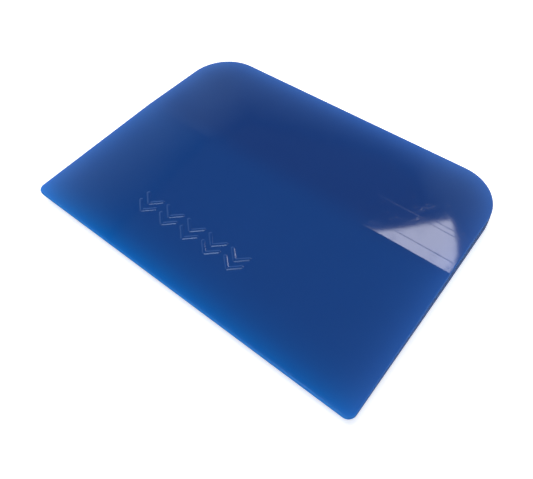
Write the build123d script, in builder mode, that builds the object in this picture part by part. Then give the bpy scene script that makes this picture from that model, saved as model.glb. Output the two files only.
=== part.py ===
from build123d import *
import math
import os

# Squeegee applicator for self-adhesive vinyl and film: one soft urethane moulding.
#
# Millimetres. +X runs along the working edge, +Y from the working edge to the back of the grip,
# +Z up, out of the upper face. The origin is the middle of the blade's bounding box, on the
# plane that the flat grip rests on.
#
# The grip zone is a flat slab. From a crease line to the working edge both faces slope in
# equally, down to a thin lip. The two sides close in slightly towards the back.

# Plan
EDGE_WIDTH = 127.0  # working edge, between the two front corners
BACK_WIDTH = 121.0  # the same, where the two sides reach the back edge
DEPTH = 90.0  # working edge to back edge
EDGE_CORNER_RADIUS = 2.5
BACK_CORNER_RADIUS = 15.5

# Side profile
GRIP_THICKNESS = 6.0
LIP_THICKNESS = 1.5
TAPER_LENGTH = 51.0  # working edge to crease line
CREASE_RADIUS = 12.0  # soft run of the slope into the flat
RIM_ROUNDING = 0.4  # upper and lower rim, all round

# Generic raised mark on the upper slope: double chevrons that point at the working edge
CHEVRON_COLUMNS = 5
CHEVRON_ROWS = 2
CHEVRON_PITCH = 9.2  # from one pair to the next, along the working edge
CHEVRON_ROW_PITCH = 3.4
CHEVRON_LEG = 4.4  # length of each leg's centre line
CHEVRON_ANGLE = 42.0  # each leg to the working edge, in degrees
CHEVRON_STROKE = 0.8  # width of the raised line
CHEVRON_HEIGHT = 0.25  # proud of the slope
MARK_CENTRE_X = -9.0
MARK_DISTANCE = 18.0  # working edge to the middle of the mark

FRONT_Y = -DEPTH / 2
BACK_Y = DEPTH / 2
CREASE_Y = FRONT_Y + TAPER_LENGTH
LIP_BOTTOM = (GRIP_THICKNESS - LIP_THICKNESS) / 2
LIP_TOP = LIP_BOTTOM + LIP_THICKNESS
SLOPE = math.degrees(math.atan2(GRIP_THICKNESS - LIP_TOP, TAPER_LENGTH))

os.makedirs("parts", exist_ok=True)


def slope_plane() -> Plane:
    """Plane on the upper slope, centred on the raised mark, with its Y away from the edge."""
    rise = MARK_DISTANCE * math.tan(math.radians(SLOPE))
    centre = (MARK_CENTRE_X, FRONT_Y + MARK_DISTANCE, LIP_TOP + rise)
    return Plane(origin=centre, x_dir=(1, 0, 0), z_dir=(0, -1, 0)).rotated((SLOPE - 90, 0, 0))


# ---------------------------------------------------------------------------------------
# squeegee_blade: grip, taper and lip in one solid, with the raised mark
# ---------------------------------------------------------------------------------------
with BuildPart() as squeegee_blade:
    with BuildSketch(Plane.XY) as plan:
        with BuildLine():
            Polyline(
                (-EDGE_WIDTH / 2, FRONT_Y),
                (EDGE_WIDTH / 2, FRONT_Y),
                (BACK_WIDTH / 2, BACK_Y),
                (-BACK_WIDTH / 2, BACK_Y),
                close=True,
            )
        make_face()
        fillet(plan.vertices().group_by(Axis.Y)[0], EDGE_CORNER_RADIUS)
        fillet(plan.vertices().group_by(Axis.Y)[-1], BACK_CORNER_RADIUS)
    extrude(amount=GRIP_THICKNESS)

    with BuildSketch(Plane.YZ) as profile:
        with BuildLine():
            Polyline(
                (FRONT_Y, LIP_BOTTOM),
                (CREASE_Y, 0),
                (BACK_Y, 0),
                (BACK_Y, GRIP_THICKNESS),
                (CREASE_Y, GRIP_THICKNESS),
                (FRONT_Y, LIP_TOP),
                close=True,
            )
        make_face()
        fillet(profile.vertices().group_by(Axis.X)[1], CREASE_RADIUS)
    extrude(amount=EDGE_WIDTH, both=True, mode=Mode.INTERSECT)

    covers = squeegee_blade.faces().filter_by(lambda face: abs(face.normal_at().Z) > 0.5)
    walls = squeegee_blade.faces().filter_by(lambda face: abs(face.normal_at().Z) < 0.5)
    rims = covers.edges().filter_by(lambda edge: edge in walls.edges())
    fillet(rims, RIM_ROUNDING)

    with BuildSketch(slope_plane()):
        leg_x = CHEVRON_LEG / 2 * math.cos(math.radians(CHEVRON_ANGLE))
        with GridLocations(CHEVRON_PITCH, CHEVRON_ROW_PITCH, CHEVRON_COLUMNS, CHEVRON_ROWS):
            with Locations((leg_x, 0)):
                SlotCenterToCenter(CHEVRON_LEG, CHEVRON_STROKE, rotation=CHEVRON_ANGLE)
            with Locations((-leg_x, 0)):
                SlotCenterToCenter(CHEVRON_LEG, CHEVRON_STROKE, rotation=-CHEVRON_ANGLE)
    extrude(amount=CHEVRON_HEIGHT, both=True)

squeegee_blade.part.label = "squeegee_blade"
export_step(squeegee_blade.part, "parts/squeegee_blade.step")
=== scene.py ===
"""Looks of the squeegee applicator: one glossy moulding of dyed, translucent urethane.

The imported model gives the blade's box, and everything is placed from it, in metres. +X runs along
the working edge, +Y from the working edge to the back of the grip, +Z up out of the upper face.
"""

import logging
import math
from dataclasses import dataclass, field
from enum import Enum

import bmesh
import bpy
from mathutils import Matrix, Vector


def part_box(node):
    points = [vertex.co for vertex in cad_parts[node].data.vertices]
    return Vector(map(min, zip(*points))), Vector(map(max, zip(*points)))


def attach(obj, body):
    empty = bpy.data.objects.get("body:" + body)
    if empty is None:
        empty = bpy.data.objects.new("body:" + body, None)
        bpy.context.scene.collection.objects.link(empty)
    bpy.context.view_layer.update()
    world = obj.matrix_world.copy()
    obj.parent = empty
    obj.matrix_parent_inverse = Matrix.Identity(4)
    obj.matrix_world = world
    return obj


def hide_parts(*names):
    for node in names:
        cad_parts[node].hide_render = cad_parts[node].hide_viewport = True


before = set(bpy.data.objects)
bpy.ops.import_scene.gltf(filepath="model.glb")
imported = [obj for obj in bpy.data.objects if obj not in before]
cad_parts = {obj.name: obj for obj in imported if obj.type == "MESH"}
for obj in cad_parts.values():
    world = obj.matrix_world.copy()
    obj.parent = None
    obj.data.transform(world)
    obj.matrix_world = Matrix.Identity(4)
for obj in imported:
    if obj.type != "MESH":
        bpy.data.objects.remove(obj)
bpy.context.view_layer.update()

MM = 0.001
BLADE_NODE = "squeegee_blade"
BODY = "root"
UP = Vector((0.0, 0.0, 1.0))
DEPTH_NAMES = ("rim_depth", "lip_depth", "wall_share")  # kept on each point, for the dye and for its painted glow and painted shade

Socket = bpy.types.NodeSocket
Run = tuple[float, float]
Triple = tuple[float, float, float]
Quad = Colour = tuple[float, float, float, float]
Value = Socket | float | Triple | Colour

log = logging.getLogger("squeegee")


class Side(Enum):
    """The two broad faces of the blade."""

    UPPER = 1.0
    LOWER = -1.0


def put_in_scene(name: str, data: bpy.types.ID) -> bpy.types.Object:
    """Puts a new object into the scene.

    Args:
        name: Its name.
        data: Its mesh, camera or light.

    Returns:
        The object.
    """
    thing = bpy.data.objects.new(name, data)
    bpy.context.scene.collection.objects.link(thing)
    return thing


# -- Shape of the blade --------------------------------------------------------------------
@dataclass(frozen=True)
class BladePlan:
    """Outline of the blade seen from above: a trapezoid with round corners."""

    half_edge: float  # half the working edge, to where the side line meets it
    half_back: float  # the same at the back edge
    front: float  # Y of the working edge
    back: float  # Y of the back edge
    edge_corner: float  # corner radius beside the working edge
    back_corner: float  # corner radius beside the back edge

    @property
    def side_normal(self) -> Vector:
        """Outward direction of the right-hand side."""
        return Vector((self.back - self.front, self.half_edge - self.half_back)).normalized()

    def side_depth(self, x: float, y: float) -> float:
        """Distance inwards from the nearer of the two sides, taken as endless lines."""
        corner = Vector((self.half_edge, self.front))
        return (corner - Vector((abs(x), y))).dot(self.side_normal)

    def corner_centre(self, radius: float, at_back: bool) -> Vector:
        """Centre of a right-hand corner's arc.

        Args:
            radius: The corner's radius.
            at_back: True beside the back edge, False beside the working edge.

        Returns:
            The centre in plan.
        """
        y = self.back - radius if at_back else self.front + radius
        reach = self.side_depth(0.0, y) - radius
        return Vector((reach / self.side_normal.x, y))

    def corner_spoke(self, x: float, y: float) -> tuple[Vector, float] | None:
        """Finds the corner that a point lies in.

        Args:
            x: Place along the working edge.
            y: Place towards the back.

        Returns:
            From the corner's centre to the point, as on the right-hand side, with the corner's
            radius, or nothing where the outline beside the point is straight.
        """
        for radius, at_back in ((self.edge_corner, False), (self.back_corner, True)):
            spoke = Vector((abs(x), y)) - self.corner_centre(radius, at_back)
            past_side = spoke.cross(self.side_normal) < 0
            if spoke.x > 0 and past_side == at_back:
                return spoke, radius
        return None

    def rim_depth(self, x: float, y: float) -> float:
        """Distance inwards from the sides and the back edge, round the back corners too.

        Args:
            x: Place along the working edge.
            y: Place towards the back.

        Returns:
            The distance, zero on the outline.
        """
        corner = self.corner_spoke(x, y)
        if corner and corner[1] == self.back_corner:
            return self.back_corner - corner[0].length
        return min(self.side_depth(x, y), self.back - y)

    def depth(self, x: float, y: float) -> float:
        """Distance inwards from the nearest stretch of the outline.

        Args:
            x: Place along the working edge.
            y: Place towards the back.

        Returns:
            The distance, zero on the outline.
        """
        corner = self.corner_spoke(x, y)
        if corner:
            return corner[1] - corner[0].length
        return min(self.rim_depth(x, y), y - self.front)

    def outward(self, x: float, y: float) -> Vector:
        """Outward direction of the outline beside a point that lies close to it.

        Args:
            x: Place along the working edge.
            y: Place towards the back.

        Returns:
            A unit vector in plan.
        """
        corner = self.corner_spoke(x, y)
        if corner:
            direction = corner[0].normalized()
        elif self.side_depth(x, y) < min(self.back - y, y - self.front):
            direction = self.side_normal
        else:
            direction = Vector((0.0, math.copysign(1.0, y)))
        return Vector((math.copysign(direction.x, x), direction.y))

    def outline(self, inset: float, steps: int) -> list[tuple[Vector, Vector]]:
        """Points and outward directions of the outline moved inwards, anticlockwise.

        Args:
            inset: How far the outline is moved inwards.
            steps: Number of chords in each corner's arc.

        Returns:
            A list of (point, outward direction) pairs, both in plan.
        """
        side_turn = math.atan2(self.side_normal.y, self.side_normal.x)
        right = []
        for radius, at_back, start, end in (
            (self.edge_corner, False, -math.pi / 2, side_turn),
            (self.back_corner, True, side_turn, math.pi / 2),
        ):
            centre = self.corner_centre(radius, at_back)
            for step in range(steps + 1):
                angle = start + (end - start) * step / steps
                outward = Vector((math.cos(angle), math.sin(angle)))
                right.append((centre + outward * (radius - inset), outward))
        left = [(Vector((-p.x, p.y)), Vector((-n.x, n.y))) for p, n in reversed(right)]
        return right + left


@dataclass(frozen=True)
class ChevronMark:
    """Generic raised mark: pairs of chevrons that point at the working edge."""

    centre: Vector
    columns: int = 5  # pairs along the working edge
    rows: int = 2  # chevrons in each pair
    pitch: float = 9.2 * MM  # from one pair to the next
    row_pitch: float = 3.4 * MM  # from one chevron to the next in a pair
    leg: float = 4.4 * MM  # length of each leg's centre line
    angle: float = math.radians(42.0)  # each leg to the working edge
    stroke: float = 0.9 * MM  # width of the raised line at half its height
    height: float = 0.12 * MM
    softness: float = 0.5 * MM  # width of the rounded shoulder on each side of the line

    def reach(self) -> Vector:
        """Half the room that the mark takes.

        Returns:
            The reach from its centre, along the working edge and across it.
        """
        wide = (self.columns - 1) * self.pitch / 2 + self.leg * math.cos(self.angle)
        deep = (self.rows - 1) * self.row_pitch / 2 + self.leg * math.sin(self.angle) / 2
        margin = (self.stroke + self.softness) / 2
        return Vector((wide + margin, deep + margin))

    def relief(self, x: float, y: float) -> float:
        """How far the surface stands out at a point.

        Args:
            x: Place along the working edge.
            y: Place towards the back.

        Returns:
            The height above the plain slope.
        """
        across, along = x - self.centre.x, y - self.centre.y
        reach = self.reach()
        if abs(across) > reach.x or abs(along) > reach.y:
            return 0.0
        column = round(across / self.pitch + (self.columns - 1) / 2)
        column = min(max(column, 0), self.columns - 1)
        across = abs(across - (column - (self.columns - 1) / 2) * self.pitch)
        end = Vector((math.cos(self.angle), math.sin(self.angle))) * self.leg
        nearest = self.stroke
        for row in range(self.rows):
            tip_y = (row - (self.rows - 1) / 2) * self.row_pitch - end.y / 2
            from_tip = Vector((across, along - tip_y))
            share = min(max(from_tip.dot(end) / end.length_squared, 0.0), 1.0)
            nearest = min(nearest, (from_tip - end * share).length)
        shoulder = (self.stroke / 2 + self.softness / 2 - nearest) / self.softness
        shoulder = min(max(shoulder, 0.0), 1.0)
        return self.height * shoulder * shoulder * (3 - 2 * shoulder)


@dataclass(frozen=True)
class BladeSection:
    """Side profile of the blade: flat grip, soft crease, even taper on both faces."""

    front: float  # Y of the working edge
    middle: float  # height of the plane halfway between the two faces
    grip: float  # thickness of the flat grip
    lip: float = 1.5 * MM  # thickness at the working edge
    taper: float = 51.0 * MM  # working edge to crease line
    crease_radius: float = 12.0 * MM  # radius of the run from slope to flat

    @property
    def slope(self) -> float:
        """Rise of each face per unit of distance, in the taper."""
        return (self.grip - self.lip) / 2 / self.taper

    @property
    def crease_reach(self) -> float:
        """Half the width of the soft run at the crease line."""
        return self.crease_radius * math.tan(math.atan(self.slope) / 2)

    def half_thickness(self, distance: float) -> float:
        """Half the blade's thickness.

        Args:
            distance: Distance from the working edge.

        Returns:
            Half the thickness there.
        """
        past = distance - self.taper
        if past >= self.crease_reach:
            return self.grip / 2
        if past <= -self.crease_reach:
            return self.grip / 2 + past * self.slope
        return self.grip / 2 - (past - self.crease_reach) ** 2 * self.slope / self.crease_reach / 4

    def height(self, y: float, side: Side) -> float:
        """Height of a face, without the raised mark.

        Args:
            y: Place from the working edge to the back.
            side: Which face.

        Returns:
            Z of the face.
        """
        return self.middle + side.value * self.half_thickness(y - self.front)


def ruled_lines(low: float, high: float, coarse: float, fine: tuple[float, float, float],
                exact: tuple[float, ...] = ()) -> list[float]:
    """Places of the lines that rule a face into cells, closer together where detail is.

    Args:
        low: First line.
        high: Last line.
        coarse: Widest gap between two lines.
        fine: Start, end and gap of the stretch with detail.
        exact: Lines that must be there.

    Returns:
        The places in rising order.
    """
    start, end, gap = fine
    allowance = 1e-6  # share of a cell that rounding may add
    stops = sorted({low, start, end, high, *exact})
    lines = []
    for a, b in zip(stops, stops[1:]):
        step = gap if start <= (a + b) / 2 <= end else coarse
        count = max(1, math.ceil((b - a) / step - allowance))
        lines += [a + (b - a) * i / count for i in range(count)]
    return lines + [high]


@dataclass
class Blade:
    """The whole tool: grip, taper, lip and raised mark in one skin."""

    plan: BladePlan
    section: BladeSection
    mark: ChevronMark
    rounding: float = 0.4 * MM  # radius of the upper and lower rims
    crown: float = 0.05 * MM  # how far the side walls bulge at half their height
    corner_steps: int = 28  # chords in each corner's arc
    rim_steps: int = 6  # chords in each rim's rounding
    coarse: float = 2.0 * MM  # cell size where the faces are plain
    fine: float = 0.16 * MM  # cell size in the raised mark
    tiny: float = 1e-7  # shortest distance that counts when the cells are trimmed
    weld: float = 0.01 * MM  # points closer than this are joined
    normals: list[Vector] = field(default_factory=list)  # of each point of the skin
    depths: list[Triple] = field(default_factory=list)  # of each point, by DEPTH_NAMES

    @classmethod
    def from_box(cls, low: Vector, high: Vector) -> "Blade":
        """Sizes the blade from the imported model's box.

        Args:
            low: Lowest corner of the box.
            high: Highest corner of the box.

        Returns:
            The blade, with its outline touching the box on every side.
        """
        edge_corner, back_corner = 2.5 * MM, 15.5 * MM
        closing_in = 3.0 * MM  # how far each side closes in towards the back
        mark_x, mark_from_edge = -9.0 * MM, 18.0 * MM
        lean = closing_in / (high.y - low.y)
        half_edge = (high.x - low.x) / 2 + edge_corner * (lean + math.hypot(1, lean) - 1)
        half_back = half_edge - closing_in
        plan = BladePlan(half_edge, half_back, low.y, high.y, edge_corner, back_corner)
        section = BladeSection(low.y, (low.z + high.z) / 2, high.z - low.z)
        return cls(plan, section, ChevronMark(Vector((mark_x, low.y + mark_from_edge))))

    def surface(self, x: float, y: float, side: Side) -> float:
        """Height of a face with its raised mark."""
        raised = self.mark.relief(x, y) if side is Side.UPPER else 0.0
        return self.section.height(y, side) + raised

    def surface_normal(self, x: float, y: float, side: Side) -> Vector:
        """Outward direction of a face, measured over a small step.

        Args:
            x: Place along the working edge.
            y: Place towards the back.
            side: Which face.

        Returns:
            A unit vector.
        """
        step = 0.03 * MM
        across = self.surface(x + step, y, side) - self.surface(x - step, y, side)
        along = self.surface(x, y + step, side) - self.surface(x, y - step, side)
        return (Vector((-across, -along, 2 * step)) * side.value).normalized()

    def flat_pattern(self) -> bmesh.types.BMesh:
        """Plan of a broad face as ruled cells, trimmed to the outline inside the rim.

        Returns:
            A flat mesh at z = 0, facing up.
        """
        reach, centre = self.mark.reach(), self.mark.centre
        plan, section = self.plan, self.section
        crease = [section.taper + section.crease_reach * share for share in (-1, -0.5, 0, 0.5, 1)]
        xs = ruled_lines(-plan.half_edge, plan.half_edge, self.coarse,
                         (centre.x - reach.x, centre.x + reach.x, self.fine))
        ys = ruled_lines(plan.front, plan.back, self.coarse,
                         (centre.y - reach.y, centre.y + reach.y, self.fine),
                         tuple(plan.front + distance for distance in crease))
        pattern = bmesh.new()
        rows = [[pattern.verts.new((x, y, 0.0)) for x in xs] for y in ys]
        for low, high in zip(rows, rows[1:]):
            for a, b, c, d in zip(low, low[1:], high[1:], high):
                pattern.faces.new((a, b, c, d))
        outline = [point for point, _ in plan.outline(self.rounding, self.corner_steps)]
        for start, end in zip(outline, outline[1:] + outline[:1]):
            run = end - start
            if run.length > self.tiny:
                geometry = pattern.verts[:] + pattern.edges[:] + pattern.faces[:]
                outside = Vector((run.y, -run.x, 0.0)).normalized()
                bmesh.ops.bisect_plane(pattern, geom=geometry, dist=self.tiny,
                                       plane_co=(*start, 0.0), plane_no=outside,
                                       clear_outer=True)
        bmesh.ops.remove_doubles(pattern, verts=pattern.verts, dist=self.weld)
        for corner in pattern.verts:
            if corner.is_boundary:
                x, y = corner.co.xy
                slack = plan.depth(x, y) - self.rounding
                corner.co += plan.outward(x, y).to_3d() * slack
        return pattern

    def rim_column(self, x: float, y: float) -> list[tuple[Vector, Vector, float]]:
        """The rim below one border point of the upper face, from top to bottom.

        Args:
            x: Border point along the working edge.
            y: Border point from the working edge to the back.

        Returns:
            (point, outward direction, share of side wall) of each level between the two faces.
        """
        outward = self.plan.outward(x, y).to_3d()
        foot = Vector((x, y, 0.0))
        half = self.section.height(y, Side.UPPER) - self.section.middle
        wall = half - self.rounding
        bulge = self.crown * wall / (self.section.grip / 2)
        reach = self.rounding - bulge
        levels = []
        for step in range(1, self.rim_steps + 1):
            angle = math.pi / 2 * step / self.rim_steps
            level = wall + self.rounding * math.cos(angle)
            direction = outward * math.sin(angle) + UP * math.cos(angle)
            levels.append((level, reach * math.sin(angle), direction, math.sin(angle)))
        for share in (0.5, 0.0):
            tilt = UP * (2 * bulge * share / max(wall, self.rounding))
            offset = reach + bulge * (1 - share * share)
            levels.append((wall * share, offset, (outward + tilt).normalized(), 1.0))
        flip = Vector((1.0, 1.0, -1.0))
        lower = [(-level, offset, direction * flip, wall) for level, offset, direction, wall
                 in reversed(levels[:-1])]
        middle = UP * self.section.middle
        return [(foot + outward * offset + UP * level + middle, direction, wall)
                for level, offset, direction, wall in levels + lower]

    def note_depths(self, x: float, y: float, wall: float) -> None:
        """Keeps how deep in the blade a point is, for the dye and its painted glow."""
        rim = max(self.plan.rim_depth(x, y), 0.0)
        self.depths.append((rim / MM, (y - self.plan.front) / MM, wall))

    def build(self) -> bpy.types.Object:
        """Builds the skin and rides it on the blade's body.

        Returns:
            The finished object.
        """
        pattern = self.flat_pattern()
        pattern.verts.index_update()
        skin = bmesh.new()
        faces: dict[Side, list[bmesh.types.BMVert]] = {}
        for side in Side:
            faces[side] = []
            for corner in pattern.verts:
                x, y = corner.co.xy
                faces[side].append(skin.verts.new((x, y, self.surface(x, y, side))))
                self.normals.append(self.surface_normal(x, y, side))
                self.note_depths(x, y, 0.0)
            for cell in pattern.faces:
                corners = [faces[side][corner.index] for corner in cell.verts]
                skin.faces.new(corners if side is Side.UPPER else reversed(corners))
        border = [edge.link_loops[0] for edge in pattern.edges if edge.is_boundary]
        columns = {loop.vert.index: self.add_column(skin, loop.vert, faces) for loop in border}
        for loop in border:
            here = columns[loop.vert.index]
            there = columns[loop.link_loop_next.vert.index]
            for a, b, c, d in zip(here, there, there[1:], here[1:]):
                skin.faces.new((b, a, d, c))
        pattern.free()
        return self.finish_mesh(skin)

    def add_column(self, skin: bmesh.types.BMesh, corner: bmesh.types.BMVert,
                   faces: dict[Side, list[bmesh.types.BMVert]]) -> list[bmesh.types.BMVert]:
        """Adds the rim's points below one border point.

        Args:
            skin: Mesh that they go into.
            corner: Border point of the flat pattern.
            faces: The points of both broad faces, in the pattern's order.

        Returns:
            The column from the upper face to the lower one.
        """
        x, y = corner.co.xy
        column = [faces[Side.UPPER][corner.index]]
        for point, direction, wall in self.rim_column(x, y):
            column.append(skin.verts.new(point))
            self.normals.append(direction)
            self.note_depths(point.x, point.y, wall)
        return column + [faces[Side.LOWER][corner.index]]

    def finish_mesh(self, skin: bmesh.types.BMesh) -> bpy.types.Object:
        """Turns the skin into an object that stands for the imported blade.

        Args:
            skin: The closed skin, freed here.

        Returns:
            The object, riding on its body.
        """
        for face in skin.faces:
            face.smooth = True
        mesh = bpy.data.meshes.new("blade_moulding")
        skin.to_mesh(mesh)
        skin.free()
        mesh.normals_split_custom_set_from_vertices(self.normals)
        for name, values in zip(DEPTH_NAMES, zip(*self.depths)):
            layer = mesh.attributes.new(name, "FLOAT", "POINT")
            layer.data.foreach_set("value", values)
        piece = put_in_scene(mesh.name, mesh)
        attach(piece, BODY)
        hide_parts(BLADE_NODE)
        return piece

    def dress(self, piece: bpy.types.Object, finish: "DyedUrethaneWithPaintedGlow") -> None:
        """Gives the built piece its finish."""
        piece.data.materials.append(finish.material())


# -- Nodes, and the node groups that vary over the surface ---------------------------------
class Kind(Enum):
    """Kinds of socket that a node group has."""

    NUMBER = "NodeSocketFloat"
    VECTOR = "NodeSocketVector"
    COLOUR = "NodeSocketColor"


@dataclass
class NodeBench:
    """Adds nodes to one node tree and wires them up."""

    tree: bpy.types.NodeTree

    def fill(self, node: bpy.types.Node, *values: Value, **named: Value) -> bpy.types.Node:
        """Links sockets to a node's inputs, or sets the inputs to plain values.

        Args:
            node: The node.
            values: Sockets or plain values for its first inputs, in order.
            named: The same for inputs by name, with _ for a space.

        Returns:
            The same node.
        """
        by_name = {name.replace("_", " "): value for name, value in named.items()}
        for key, value in (*enumerate(values), *by_name.items()):
            if isinstance(value, Socket):
                self.tree.links.new(value, node.inputs[key])
            else:
                node.inputs[key].default_value = value
        return node

    def add(self, kind: str, *values: Value, **named: Value) -> bpy.types.Node:
        """Adds a shader node and fills its inputs."""
        return self.fill(self.tree.nodes.new(f"ShaderNode{kind}"), *values, **named)

    def math(self, operation: str, *values: Value) -> Socket:
        """Adds a Math node.

        Args:
            operation: The node's operation.
            values: Sockets or numbers for its inputs, in order.

        Returns:
            The result's socket.
        """
        node = self.add("Math")
        node.operation = operation
        return self.fill(node, *values).outputs[0]

    def rest_of(self, share: Socket) -> Socket:
        """What a share leaves of one."""
        return self.math("SUBTRACT", 1.0, share)

    def ease(self, value: Socket, run: Run) -> Socket:
        """Adds a smooth step.

        Args:
            value: The value that is stepped.
            run: Where the step starts from 0, and where it reaches 1.

        Returns:
            The step's socket.
        """
        node = self.add("MapRange", value, *run)
        node.interpolation_type = "SMOOTHSTEP"
        return node.outputs[0]

    def blend(self, share: Socket, a: Socket, b: Socket, way: str = "MIX") -> Socket:
        """Adds a mix of two colours.

        Args:
            share: How much of the second colour.
            a: First colour.
            b: Second colour.
            way: The node's way of mixing.

        Returns:
            The mixed colour's socket.
        """
        node = self.add("Mix", share)
        node.data_type = "RGBA"
        node.blend_type = way
        colour_inputs = node.inputs[6:8]
        for socket, colour in zip(colour_inputs, (a, b)):
            self.tree.links.new(colour, socket)
        return node.outputs[2]

    def mix_shaders(self, end: str, share: Socket, a: Socket, b: Socket) -> None:
        """Mixes two shaders, by a share of the second, into the tree's end node."""
        mix = self.add("MixShader", share, a, b)
        self.fill(self.tree.nodes[end], Surface=mix.outputs[0])

    def stretch(self, vector: Socket, scale: Triple, turn: float = 0.0) -> Socket:
        """Scales a coordinate, after turning it about Z.

        Args:
            vector: The coordinate.
            scale: Factor along each axis.
            turn: Angle in radians.

        Returns:
            The new coordinate's socket.
        """
        node = self.add("Mapping", vector)
        node.vector_type = "TEXTURE"
        sizes = tuple(1 / factor for factor in scale)
        return self.fill(node, Rotation=(0.0, 0.0, turn), Scale=sizes).outputs[0]

    def noise(self, vector: Socket, scale: Value, detail: float, roughness: float = 0.5) -> Socket:
        """Adds a noise of some scale, with finer layers of some roughness."""
        node = self.add("TexNoise", Vector=vector, Scale=scale, Detail=detail, Roughness=roughness)
        return node.outputs["Fac"]

    def axis(self, vector: Socket, name: str) -> Socket:
        """One axis of a coordinate."""
        return self.add("SeparateXYZ", vector).outputs[name]

    def own_coordinate(self) -> Socket:
        """The piece's own coordinate, in metres."""
        return self.add("TexCoord").outputs["Object"]

    def millimetres(self) -> Socket:
        """Adds the piece's own coordinate, in millimetres.

        Returns:
            The coordinate's socket.
        """
        node = self.add("VectorMath", self.own_coordinate())
        node.operation = "SCALE"
        return self.fill(node, Scale=1 / MM).outputs[0]

    def attribute(self, name: str) -> Socket:
        """Reads a number kept on each point of the mesh.

        Args:
            name: The attribute's name.

        Returns:
            The number's socket.
        """
        node = self.add("Attribute")
        node.attribute_name = name
        return node.outputs["Fac"]

    def group(self, effect: "Effect", **values: Value) -> Socket:
        """Places an effect's node group.

        Args:
            effect: The effect.
            values: Sockets or plain values for its inputs, with _ for a space in a name.

        Returns:
            The socket of its only output.
        """
        node = self.add("Group")
        node.node_tree = effect.tree
        return self.fill(node, **values).outputs[0]


class Effect(NodeBench):
    """Something that varies over the surface, worked out by a node group of the same name."""

    def __init__(self) -> None:
        """Builds the node group."""
        super().__init__(bpy.data.node_groups.new(type(self).__name__, "ShaderNodeTree"))
        self.entry = self.tree.nodes.new("NodeGroupInput")
        self.exit = self.tree.nodes.new("NodeGroupOutput")
        self.takes(Kind.VECTOR, "Vector")
        self.wire()

    def wire(self) -> None:
        """Wires up the group, each effect in its own way."""
        raise NotImplementedError

    def takes(self, kind: Kind, *names: str) -> None:
        """Adds named inputs of one kind."""
        for name in names:
            self.tree.interface.new_socket(name, in_out="INPUT", socket_type=kind.value)

    def gives(self, kind: Kind, name: str, source: Socket) -> None:
        """Adds a named output, fed by a socket."""
        self.tree.interface.new_socket(name, in_out="OUTPUT", socket_type=kind.value)
        self.tree.links.new(source, self.exit.inputs[name])

    def got(self, name: str) -> Socket:
        """The socket inside the group that carries an input."""
        return self.entry.outputs[name]


class DyeAndPaintedGlow(Effect):
    """Colour of dyed urethane, with painted glow where light would come in at the rims and the thin
    lip, and painted shade on the right.
    """

    grip: Run = (46.0, 58.0)  # where the grip's colour takes over from the thin taper's, which is lighter with painted light through it, in mm from the working edge
    painted_shade_rim: Run = (30.0, 62.0)  # where the painted shade on the rim comes in, in mm to the right
    painted_shade_rim_end: Run = (64.0, 98.0)  # where that painted shade fades out, in mm from the working edge
    painted_shade_lip: Run = (-30.0, 50.0)  # where the painted shade on the lip comes in, in mm to the right
    cloud_scale: float = 0.035  # clouds in the painted rim glow, a random tone over the whole face, per mm

    def glow(self, source: str, shade: Socket) -> Socket:
        """Painted light that would get in from one part of the outline.

        Args:
            source: Rim or Lip.
            shade: Where that part has painted shade, from 0 to 1.

        Returns:
            The painted light's share, which fades with depth.
        """
        depth = self.math("DIVIDE", self.got(f"{source} Depth"), self.got(f"{source} Reach"))
        light = self.math("EXPONENT", self.math("MULTIPLY", depth, -1.0))
        shade = self.math("MULTIPLY", shade, self.got(f"{source} Shade"))
        return self.math("MULTIPLY", light, self.rest_of(shade))

    def wire(self) -> None:
        """Wires up the group."""
        self.takes(Kind.NUMBER, "Rim Depth", "Lip Depth", "Wall Share", "Rim Reach", "Lip Reach",
                   "Rim Shade", "Lip Shade", "Cloudiness")
        self.takes(Kind.COLOUR, "Core", "Thin", "Rim Glow", "Lip", "Wall", "Lip Wall")
        across = self.axis(self.got("Vector"), "X")
        # Painted shade: the rim is darker on the right of the taper, towards the working edge.
        front = self.rest_of(self.ease(self.got("Lip Depth"), self.painted_shade_rim_end))
        painted_dimming = self.math("MULTIPLY", self.ease(across, self.painted_shade_rim), front)
        # Painted glow: lighter near the rims and the lip, as if light came in there.
        rim = self.glow("Rim", painted_dimming)
        lip = self.glow("Lip", self.ease(across, self.painted_shade_lip))
        clouds = self.noise(self.got("Vector"), self.cloud_scale, 3.0)
        clouds = self.math("MULTIPLY", self.math("SUBTRACT", clouds, 0.5), self.got("Cloudiness"))
        rim = self.math("ADD", rim, clouds)
        grip = self.ease(self.got("Lip Depth"), self.grip)
        # The thin taper's lighter colour is painted light through it.
        face = self.blend(grip, self.got("Thin"), self.got("Core"))
        face = self.blend(lip, face, self.got("Lip"))
        face = self.blend(rim, face, self.got("Rim Glow"), "ADD")
        # The walls' colours are painted glow of light through the blade.
        wall = self.blend(lip, self.got("Wall"), self.got("Lip Wall"))
        self.gives(Kind.COLOUR, "Colour", self.blend(self.got("Wall Share"), face, wall))


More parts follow.
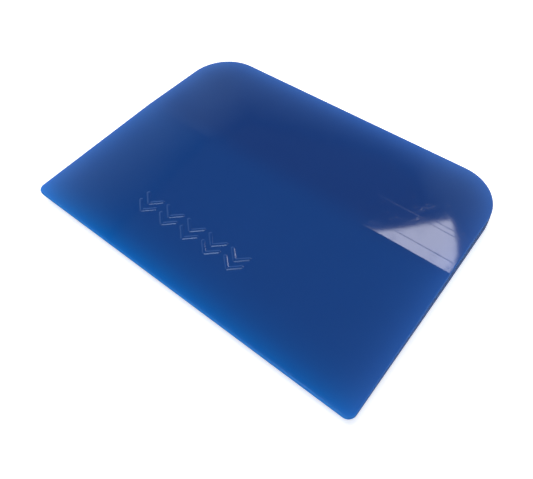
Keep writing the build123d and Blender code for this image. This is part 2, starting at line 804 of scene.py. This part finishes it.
class RubLines(Effect):
    """Fine straight lines rubbed into the grip, along the working edge."""

    # Each in mm: from the working edge, left-hand end, right-hand end; and how plain it is.
    lines: tuple[Quad, ...] = (
        (54.8, 40.0, 61.0, 1.0), (63.2, 46.0, 58.0, 0.9),
        (63.8, 28.0, 46.0, 0.5), (65.0, 48.0, 57.0, 0.9),
    )
    flank: Run = (0.3, 0.7)  # start and end of a line's flank, as shares of its width
    fading: float = 2.0  # length over which each end fades in, in mm

    def wire(self) -> None:
        """Wires up the group."""
        self.takes(Kind.NUMBER, "Lip Depth", "Line Width")
        across = self.axis(self.got("Vector"), "X")
        total: Value = 0.0
        for distance, left, right, strength in self.lines:
            away = self.math("SUBTRACT", self.got("Lip Depth"), distance)
            away = self.math("DIVIDE", self.math("ABSOLUTE", away), self.got("Line Width"))
            inside = self.rest_of(self.ease(away, self.flank))
            for end, outward in ((left, -1.0), (right, 1.0)):
                past = self.math("MULTIPLY", self.math("SUBTRACT", across, end), outward)
                within = self.rest_of(self.ease(past, (-self.fading, 0.0)))
                inside = self.math("MULTIPLY", inside, within)
            total = self.math("MULTIPLY_ADD", inside, strength, total)
        self.gives(Kind.NUMBER, "Mask", total)


class Hairlines(Effect):
    """Sparse hairline scuffs in two directions, as a soft blade picks up in use."""

    # Turn from straight back, then noise patches per mm across the hairlines and along them.
    runs: tuple[Triple, ...] = (
        (math.radians(8.0), 5.0, 0.035),
        (math.radians(-17.0), 3.6, 0.05),
    )
    width: float = 0.012  # half a hairline's width, in the noise's value
    patch_share: float = 0.06  # scale of the scuffed areas against that of the hairlines
    patches: Run = (0.52, 0.68)  # noise values between which a scuffed area comes in

    def wire(self) -> None:
        """Wires up the group."""
        strands = []
        for turn, across, along in self.runs:
            path = self.stretch(self.got("Vector"), (across, along, 1.0), turn)
            level = self.math("SUBTRACT", self.noise(path, 1.0, 1.0), 0.5)
            line = self.rest_of(self.ease(self.math("ABSOLUTE", level), (0.0, self.width)))
            patch = self.noise(self.got("Vector"), self.patch_share * across, 2.0)
            strands.append(self.math("MULTIPLY", line, self.ease(patch, self.patches)))
        self.gives(Kind.NUMBER, "Mask", self.math("MAXIMUM", *strands))


class Handling(Effect):
    """Soft patches where fingers have dulled the gloss."""

    patches: Run = (0.45, 0.75)  # noise values between which a patch comes in
    grain_scale: float = 0.9  # grains in a patch per mm

    def wire(self) -> None:
        """Wires up the group."""
        self.takes(Kind.NUMBER, "Patch Scale")
        broad = self.noise(self.got("Vector"), self.got("Patch Scale"), 3.0, 0.6)
        grain = self.noise(self.got("Vector"), self.grain_scale, 4.0, 0.7)
        mask = self.math("MULTIPLY", self.ease(broad, self.patches), grain)
        self.gives(Kind.NUMBER, "Mask", mask)


class EdgeWear(Effect):
    """Wear along the working edge and the rims, broken up by noise."""

    grain_scale: float = 0.8  # grains of the noise per mm
    raggedness: float = 1.6  # how far the noise shifts the worn lip's border, in mm
    lip_band: Run = (0.6, 2.2)  # where the worn lip fades out, in mm from the working edge
    wall_rub: Run = (0.35, 0.75)  # noise values between which the walls' wear comes in

    def wire(self) -> None:
        """Wires up the group."""
        self.takes(Kind.NUMBER, "Lip Depth", "Wall Share")
        ragged = self.noise(self.got("Vector"), self.grain_scale, 4.0, 0.65)
        border = self.math("MULTIPLY", ragged, self.raggedness)
        depth = self.math("ADD", self.got("Lip Depth"), border)
        lip = self.rest_of(self.ease(depth, self.lip_band))
        wall = self.math("MULTIPLY", self.got("Wall Share"), self.ease(ragged, self.wall_rub))
        self.gives(Kind.NUMBER, "Mask", self.math("MAXIMUM", lip, wall))


class MouldRipple(Effect):
    """Slight unevenness of a moulded face, with faint lines drawn along the working edge."""

    swell_scale: float = 0.07  # swells per mm
    line_scale: Triple = (0.004, 1.3, 0.2)  # lines per mm along each axis

    def wire(self) -> None:
        """Wires up the group."""
        self.takes(Kind.NUMBER, "Line Share")
        swell = self.noise(self.got("Vector"), self.swell_scale, 2.0, 0.4)
        lines = self.noise(self.stretch(self.got("Vector"), self.line_scale), 1.0, 2.0, 0.6)
        lines = self.math("MULTIPLY", lines, self.got("Line Share"))
        self.gives(Kind.NUMBER, "Height", self.math("ADD", swell, lines))


# -- Finishes ------------------------------------------------------------------------------
def new_material(name: str) -> tuple[bpy.types.Material, NodeBench, bpy.types.Node]:
    """Makes a material.

    Args:
        name: Its name.

    Returns:
        The material, a bench for its nodes, and its Principled node.
    """
    material = bpy.data.materials.new(name)
    material.use_nodes = True
    nodes = material.node_tree.nodes
    return material, NodeBench(material.node_tree), nodes["Principled BSDF"]


@dataclass(frozen=True)
class DyedUrethaneWithPaintedGlow:
    """Glossy blue urethane, dark where it is deep, with painted glow where light comes in and
    painted shade on the right.
    """

    core: Colour = (0.0080, 0.0355, 0.162, 1.0)  # thick grip, far from every rim
    thin: Colour = (0.0072, 0.0440, 0.192, 1.0)  # thinner taper, lighter by painted light through it
    painted_rim_glow: Colour = (0.023, 0.079, 0.262, 1.0)  # painted glow, added for light from the sides and the back
    lip: Colour = (0.0, 0.120, 0.46, 1.0)  # working edge, painted glow of light through the thin lip
    wall: Colour = (0.045, 0.15, 0.47, 1.0)  # side walls, painted glow of light seen through the blade's whole width
    lip_wall: Colour = (0.0, 0.20, 0.62, 1.0)  # narrow wall of the lip itself, painted glow
    rim_reach: float = 4.6  # how deep the painted glow reaches in from the rims, in mm
    lip_reach: float = 3.9  # the same from the working edge
    rim_shade: float = 0.5  # how much painted shade dulls the rim on the right of the taper
    lip_shade: float = 0.2  # how much painted shade dulls the lip towards the right
    cloudiness: float = 0.06  # how uneven the painted glow at the rims is
    gloss: float = 0.046  # roughness of the clean surface
    handled: float = 0.03  # roughness added by the handling patches
    scuffed: float = 0.06  # roughness added by the hairlines
    worn: float = 0.2  # roughness added by the wear
    rubbed: float = 0.3  # roughness added by the rub lines
    patch_scale: float = 0.05  # handling patches per mm
    line_width: float = 0.2  # width of a rub line, in mm
    line_share: float = 0.12  # drawn lines against swells, in the mould's unevenness
    ripple: float = 0.005 * MM  # height of that unevenness
    scratch: float = 0.001 * MM  # depth of the hairlines and the wear
    index: float = 1.5  # refractive index of urethane
    scatter: float = 0.15  # share of the light that scatters below the surface
    scatter_colour: Triple = (0.3, 0.6, 1.0)  # how far red, green and blue get in it
    scatter_reach: float = 2.5 * MM  # how far the blue gets

    def material(self) -> bpy.types.Material:
        """Builds the material.

        Returns:
            The finished material.
        """
        material, bench, shader = new_material("dyed_urethane_painted_glow")
        vector = bench.millimetres()
        rim, lip, wall = (bench.attribute(name) for name in DEPTH_NAMES)
        # The base colour carries painted glow and painted shade besides the dye.
        dye = bench.group(
            DyeAndPaintedGlow(), Vector=vector, Rim_Depth=rim, Lip_Depth=lip, Wall_Share=wall,
            Rim_Reach=self.rim_reach, Lip_Reach=self.lip_reach, Rim_Shade=self.rim_shade,
            Lip_Shade=self.lip_shade, Cloudiness=self.cloudiness, Core=self.core,
            Thin=self.thin, Rim_Glow=self.painted_rim_glow, Lip=self.lip, Wall=self.wall,
            Lip_Wall=self.lip_wall)
        hairlines = bench.group(Hairlines(), Vector=vector)
        handling = bench.group(Handling(), Vector=vector, Patch_Scale=self.patch_scale)
        wear = bench.group(EdgeWear(), Vector=vector, Lip_Depth=lip, Wall_Share=wall)
        lines = bench.group(RubLines(), Vector=vector, Lip_Depth=lip, Line_Width=self.line_width)
        rough: Value = self.gloss
        for mask, added in ((handling, self.handled), (hairlines, self.scuffed),
                            (wear, self.worn), (lines, self.rubbed)):
            rough = bench.math("MULTIPLY_ADD", mask, added, rough)
        ripple = bench.group(MouldRipple(), Vector=vector, Line_Share=self.line_share)
        soft = bench.add("Bump", Strength=1.0, Distance=self.ripple, Height=ripple)
        fine = bench.add("Bump", Strength=1.0, Distance=self.scratch, Normal=soft.outputs[0],
                         Height=bench.math("ADD", hairlines, wear))
        fine.invert = True
        bench.fill(shader, Base_Color=dye, Roughness=rough, Normal=fine.outputs[0],
                   IOR=self.index, Subsurface_Weight=self.scatter,
                   Subsurface_Radius=self.scatter_colour, Subsurface_Scale=self.scatter_reach)
        return material


@dataclass(frozen=True)
class PalePaper:
    """Matte pale sheet under the blade, lit a little from below and clear from underneath."""

    colour: Colour = (0.86, 0.87, 0.88, 1.0)
    glow: float = 0.65  # how much light comes through the sheet
    roughness: float = 0.9
    mirroring: float = 0.2  # weight of its faint reflections

    def material(self) -> bpy.types.Material:
        """Builds the material.

        Returns:
            The finished material.
        """
        material, bench, shader = new_material("pale_paper")
        bench.fill(shader, Base_Color=self.colour, Roughness=self.roughness,
                   Specular_IOR_Level=self.mirroring, Emission_Color=self.colour,
                   Emission_Strength=self.glow)
        underneath = bench.add("NewGeometry").outputs["Backfacing"]
        clear = bench.add("BsdfTransparent")
        bench.mix_shaders("Material Output", underneath, shader.outputs[0], clear.outputs[0])
        return material


@dataclass(frozen=True)
class CardGlow:
    """Glow of a studio card, dimmed by the brightness that is kept on its points."""

    colour: Colour
    mottle: float = 0.0  # how uneven the glow is
    patch_scale: float = 1.6  # patches of the unevenness per metre

    def material(self, name: str) -> bpy.types.Material:
        """Builds the material.

        Args:
            name: The material's name.

        Returns:
            The finished material.
        """
        material, bench, shader = new_material(name)
        bench.tree.nodes.remove(shader)
        patches = bench.noise(bench.own_coordinate(), self.patch_scale, 2.0)
        uneven = bench.math("MULTIPLY_ADD", patches, 2 * self.mottle, 1 - self.mottle)
        strength = bench.math("MULTIPLY", bench.attribute("brightness"), uneven)
        glow = bench.add("Emission", self.colour, strength)
        bench.fill(bench.tree.nodes["Material Output"], Surface=glow.outputs[0])
        return material


# -- Camera and studio ---------------------------------------------------------------------
@dataclass(frozen=True)
class ProductCamera:
    """Camera above the right-hand end of the working edge, looking down across the blade."""

    position: Vector = field(default_factory=lambda: Vector((84.54, -90.13, 144.29)) * MM)
    azimuth: float = math.radians(44.04)  # turn about Z; zero looks along +Y
    elevation: float = math.radians(53.25)  # how steeply it looks down
    roll: float = math.radians(-5.54)  # turn about the line of sight
    lens: float = 38.97  # focal length in mm
    sensor: float = 36.0  # width of the sensor in mm
    nearest: float = 5.0 * MM  # nearest distance that it sees

    def build(self) -> bpy.types.Object:
        """Makes the camera and gives it to the scene.

        Returns:
            The camera.
        """
        data = bpy.data.cameras.new("product_camera")
        data.lens = self.lens
        data.sensor_width = self.sensor
        data.clip_start = self.nearest
        camera = put_in_scene("product_camera", data)
        turns = ((self.azimuth, "Z"), (math.pi / 2 - self.elevation, "X"), (self.roll, "Z"))
        pose = Matrix.Translation(self.position)
        for angle, axis in turns:
            pose = pose @ Matrix.Rotation(angle, 4, axis)
        camera.matrix_world = pose
        bpy.context.scene.camera = camera
        return camera


@dataclass(frozen=True)
class SoftSun:
    """Broad soft light that isn't mirrored in the gloss."""

    name: str
    towards: Triple  # direction from the blade to the light
    strength: float
    spread: float  # width as seen from the blade, in radians

    def build(self) -> bpy.types.Object:
        """Hangs the light.

        Returns:
            The light.
        """
        data = bpy.data.lights.new(self.name, "SUN")
        data.energy = self.strength
        data.angle = self.spread
        light = put_in_scene(self.name, data)
        light.rotation_mode = "QUATERNION"
        light.rotation_quaternion = Vector(self.towards).to_track_quat("Z", "Y")
        light.visible_glossy = False
        return light


@dataclass
class MirroredCard:
    """Glowing card that is only seen mirrored in the gloss."""

    name: str
    glow: CardGlow
    points: list[Vector] = field(default_factory=list)
    brightness: list[float] = field(default_factory=list)  # of each point
    faces: list[tuple[int, ...]] = field(default_factory=list)  # by their points

    def add(self, points: list[Vector], brightness: float) -> None:
        """Adds points that are equally bright."""
        self.points += points
        self.brightness += [brightness] * len(points)

    def build(self) -> bpy.types.Object:
        """Hangs the card.

        Returns:
            The card.
        """
        mesh = bpy.data.meshes.new(self.name)
        mesh.from_pydata(self.points, [], self.faces)
        layer = mesh.attributes.new("brightness", "FLOAT", "POINT")
        layer.data.foreach_set("value", self.brightness)
        mesh.materials.append(self.glow.material(self.name))
        card = put_in_scene(self.name, mesh)
        card.visible_camera = False
        card.visible_diffuse = False
        card.visible_transmission = False
        card.visible_shadow = False
        return card


@dataclass
class Studio:
    """Pale floor, soft light and the pale cards that the gloss mirrors."""

    camera: ProductCamera
    blade: Blade
    floor_reach: float = 6.0  # radius of the floor
    floor_chords: int = 96
    floor_gap: float = 0.02 * MM  # how far the floor is below the blade
    dome_colour: Colour = (0.92, 0.95, 1.0, 1.0)  # even light from all round
    dome_strength: float = 0.08
    backdrop: Colour = (1.0, 1.0, 1.0, 1.0)  # seen above the horizon
    suns: tuple[SoftSun, ...] = (
        SoftSun("key_light", (-0.5, 0.35, 0.8), 2.6, math.radians(70.0)),
        SoftSun("fill_light", (0.15, -0.3, 1.0), 1.3, math.radians(140.0)),
    )
    window_far: float = 0.9  # from the grip to the window
    window_bright: float = 8.1
    window_corners: tuple[Run, ...] = (  # where the grip mirrors them: mm right, mm from the edge
        (33.6, 47.2), (36.8, 50.8), (41.9, 56.2), (46.7, 61.8), (50.8, 66.7), (52.1, 68.2),
        (53.1, 67.6), (55.2, 65.0), (57.8, 61.6), (59.9, 58.0), (61.3, 53.0), (62.0, 47.2),
    )
    lamp_towards: Triple = (-0.15, -0.13, 0.98)  # from the raised mark to the overhead lamp
    lamp_far: float = 0.9
    lamp_bright: float = 5.0
    lamp_radii: Run = (0.08, 0.18)  # where it starts to fade, and where it has faded out
    lamp_chords: int = 48
    room: float = 3.0  # half the width of the room
    wall_bright: float = 1.0
    # The walls in half widths of the room: x, y, height of the bright part, height where it ends.
    skyline: tuple[Quad, ...] = (
        (1.0, 1.0, 0.70, 1.20), (1.0, -1.0, 0.25, 0.80), (-1.0, -1.0, 0.45, 1.00),
        (-1.0, 0.0, 0.90, 1.29), (-1.0, 1.0, 0.90, 1.25), (-0.72, 1.0, 0.84, 1.17),
        (-0.50, 1.0, 0.80, 1.11), (-0.40, 1.0, 0.82, 1.13), (-0.32, 1.0, 0.90, 1.28),
        (-0.20, 1.0, 1.00, 1.36), (0.40, 1.0, 1.00, 1.36), (1.0, 1.0, 0.70, 1.20),
    )

    def build(self) -> list[bpy.types.Object]:
        """Builds the whole studio.

        Returns:
            Its floor, lights and cards.
        """
        floor = self.floor()
        self.dome()
        lights = [sun.build() for sun in self.suns]
        return [floor, *lights, self.window_card(), self.overhead_card(), self.wall_card()]

    def floor(self) -> bpy.types.Object:
        """Lays the floor disc just under the blade.

        Returns:
            The floor.
        """
        sheet = bmesh.new()
        bmesh.ops.create_circle(sheet, cap_ends=True, segments=self.floor_chords,
                                radius=self.floor_reach)
        mesh = bpy.data.meshes.new("floor")
        sheet.to_mesh(mesh)
        sheet.free()
        mesh.materials.append(PalePaper().material())
        floor = put_in_scene("floor", mesh)
        section = self.blade.section
        floor.location.z = section.middle - section.grip / 2 - self.floor_gap
        floor.visible_glossy = False
        return floor

    def dome(self) -> None:
        """Sets dim even light from all round, with a white backdrop above the horizon."""
        world = bpy.data.worlds.new("studio_dome")
        world.use_nodes = True
        bench = NodeBench(world.node_tree)
        light = bench.fill(bench.tree.nodes["Background"], self.dome_colour, self.dome_strength)
        backdrop = bench.add("Background", self.backdrop)
        seen = bench.add("LightPath").outputs["Is Camera Ray"]
        bench.mix_shaders("World Output", seen, light.outputs[0], backdrop.outputs[0])
        bpy.context.scene.world = world

    def mirrored(self, x: float, y: float) -> Vector:
        """Where a point of the grip sends the camera's line of sight.

        Args:
            x: Place on the grip along the working edge.
            y: Place on the grip from the working edge.

        Returns:
            The place at the window's distance that is mirrored there.
        """
        section = self.blade.section
        spot = Vector((x, section.front + y, section.middle + section.grip / 2))
        sight = (spot - self.camera.position).normalized()
        return spot + sight.reflect(UP) * self.window_far

    def window_card(self) -> bpy.types.Object:
        """Hangs the corner of a window that the grip mirrors, down to the crease.

        Returns:
            The card.
        """
        card = MirroredCard("window_card", CardGlow((0.94, 0.93, 1.03, 1.0)))
        corners = [self.mirrored(x * MM, y * MM) for x, y in self.window_corners]
        card.add(corners, self.window_bright)
        card.faces.append(tuple(range(len(corners))))
        return card.build()

    def overhead_card(self) -> bpy.types.Object:
        """Hangs a soft round lamp overhead that glints on the shoulders of the raised mark.

        Returns:
            The card.
        """
        card = MirroredCard("overhead_card", CardGlow((0.66, 0.86, 1.12, 1.0)))
        centre = self.blade.mark.centre.to_3d() + Vector(self.lamp_towards) * self.lamp_far
        chords = self.lamp_chords
        turns = [2 * math.pi * step / chords for step in range(chords)]
        spokes = [Vector((math.cos(turn), math.sin(turn), 0.0)) for turn in turns]
        for radius, brightness in zip(self.lamp_radii, (self.lamp_bright, 0.0)):
            card.add([centre + spoke * radius for spoke in spokes], brightness)
        card.faces.append(tuple(range(chords)))
        for here in range(chords):
            after = (here + 1) % chords
            card.faces.append((here, after, after + chords, here + chords))
        return card.build()

    def wall_card(self) -> bpy.types.Object:
        """Hangs the pale walls of the room, which fade out towards the ceiling.

        Returns:
            The card.
        """
        card = MirroredCard("wall_card", CardGlow((0.54, 0.82, 1.22, 1.0), mottle=0.5))
        for x, y, bright, gone in self.skyline:
            foot, shoulder, top = (Vector((x, y, z)) * self.room for z in (0.0, bright, gone))
            card.add([foot, shoulder], self.wall_bright)
            card.add([top], 0.0)
        levels = 3
        for here in range(0, len(card.points) - levels, levels):
            for low in (here, here + 1):
                card.faces.append((low, low + levels, low + levels + 1, low + 1))
        return card.build()


def main() -> None:
    """Builds the blade, its finish and the studio, and writes how big it all came out."""
    logging.basicConfig(level=logging.INFO, format="%(name)s: %(message)s")
    low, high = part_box(BLADE_NODE)
    blade = Blade.from_box(low, high)
    moulding = blade.build()
    blade.dress(moulding, DyedUrethaneWithPaintedGlow())
    log.info("%s: %d faces", moulding.name, len(moulding.data.polygons))
    camera = ProductCamera()
    log.info("%s: %.1f mm lens", camera.build().name, camera.lens)
    for piece in Studio(camera, blade).build():
        log.info("%s: in place", piece.name)
    bpy.context.scene.view_settings.view_transform = "Standard"


if __name__ == "__main__":
    main()
